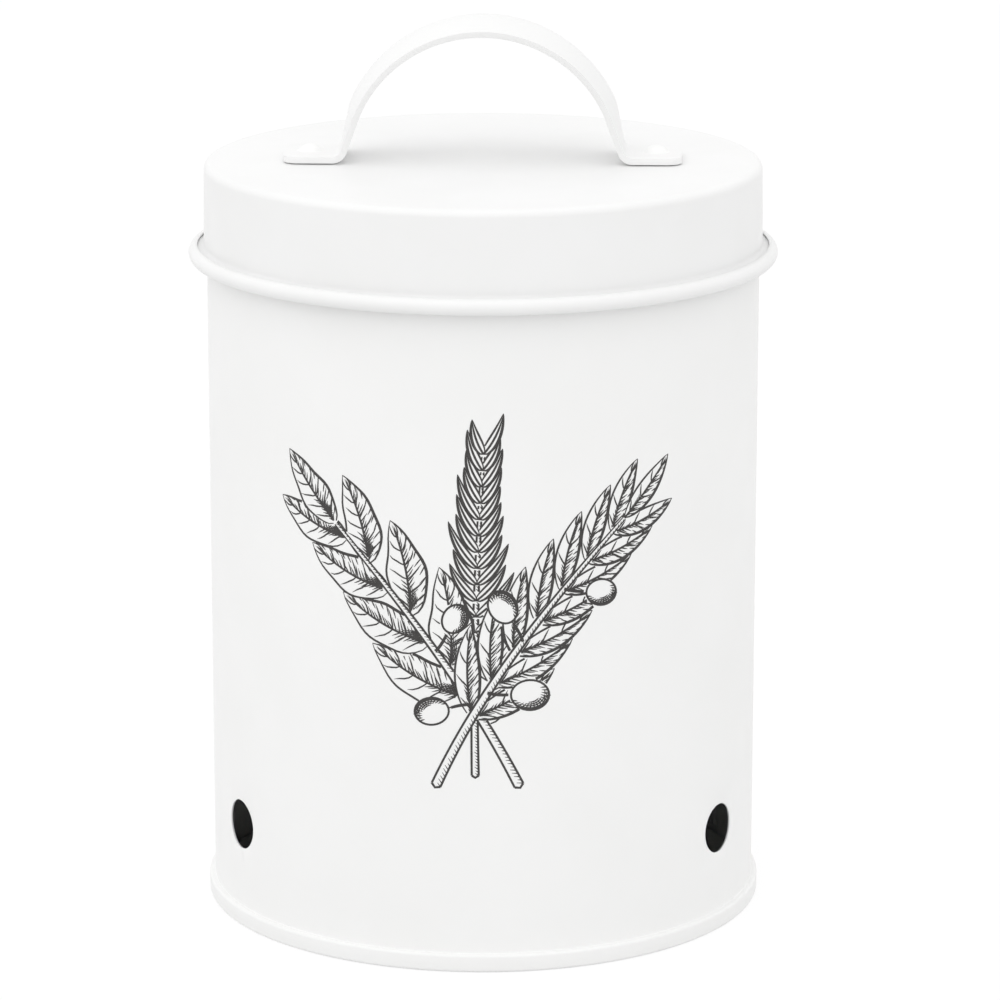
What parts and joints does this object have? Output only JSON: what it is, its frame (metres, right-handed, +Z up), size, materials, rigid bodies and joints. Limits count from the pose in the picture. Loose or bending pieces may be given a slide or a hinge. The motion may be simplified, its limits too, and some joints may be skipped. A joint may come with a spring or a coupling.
{
  "type": "garlic keeper",
  "caption": "Round vented sheet-steel canister with a slip lid that lifts off. The lid has a curled edge and an arched strap handle.",
  "frame": {"origin": "centre of the base, on the surface that the canister stands on", "axes": "+Z up; the printed side faces -Y; the handle runs along X"},
  "size_m": [0.1386, 0.1386, 0.212],
  "materials": {
    "canister_coat": "white satin powder coat",
    "lid_coat": "white satin powder coat",
    "handle_coat": "white satin powder coat",
    "rivet_coat": "white satin powder coat",
    "print_ink": "black printed ink, matt"
  },
  "bodies": {
    "canister": {"body_wall": "canister_coat", "base_pan": "canister_coat"},
    "lid": {"lid_shell": "lid_coat", "handle_strap": "handle_coat", "rivet_left": "rivet_coat", "rivet_right": "rivet_coat"}
  },
  "joints": [
    {"name": "lid_lift", "type": "slide", "parent": "canister", "child": "lid", "axis": [0, 0, 1], "range_m": [0, 0.06]}
  ]
}
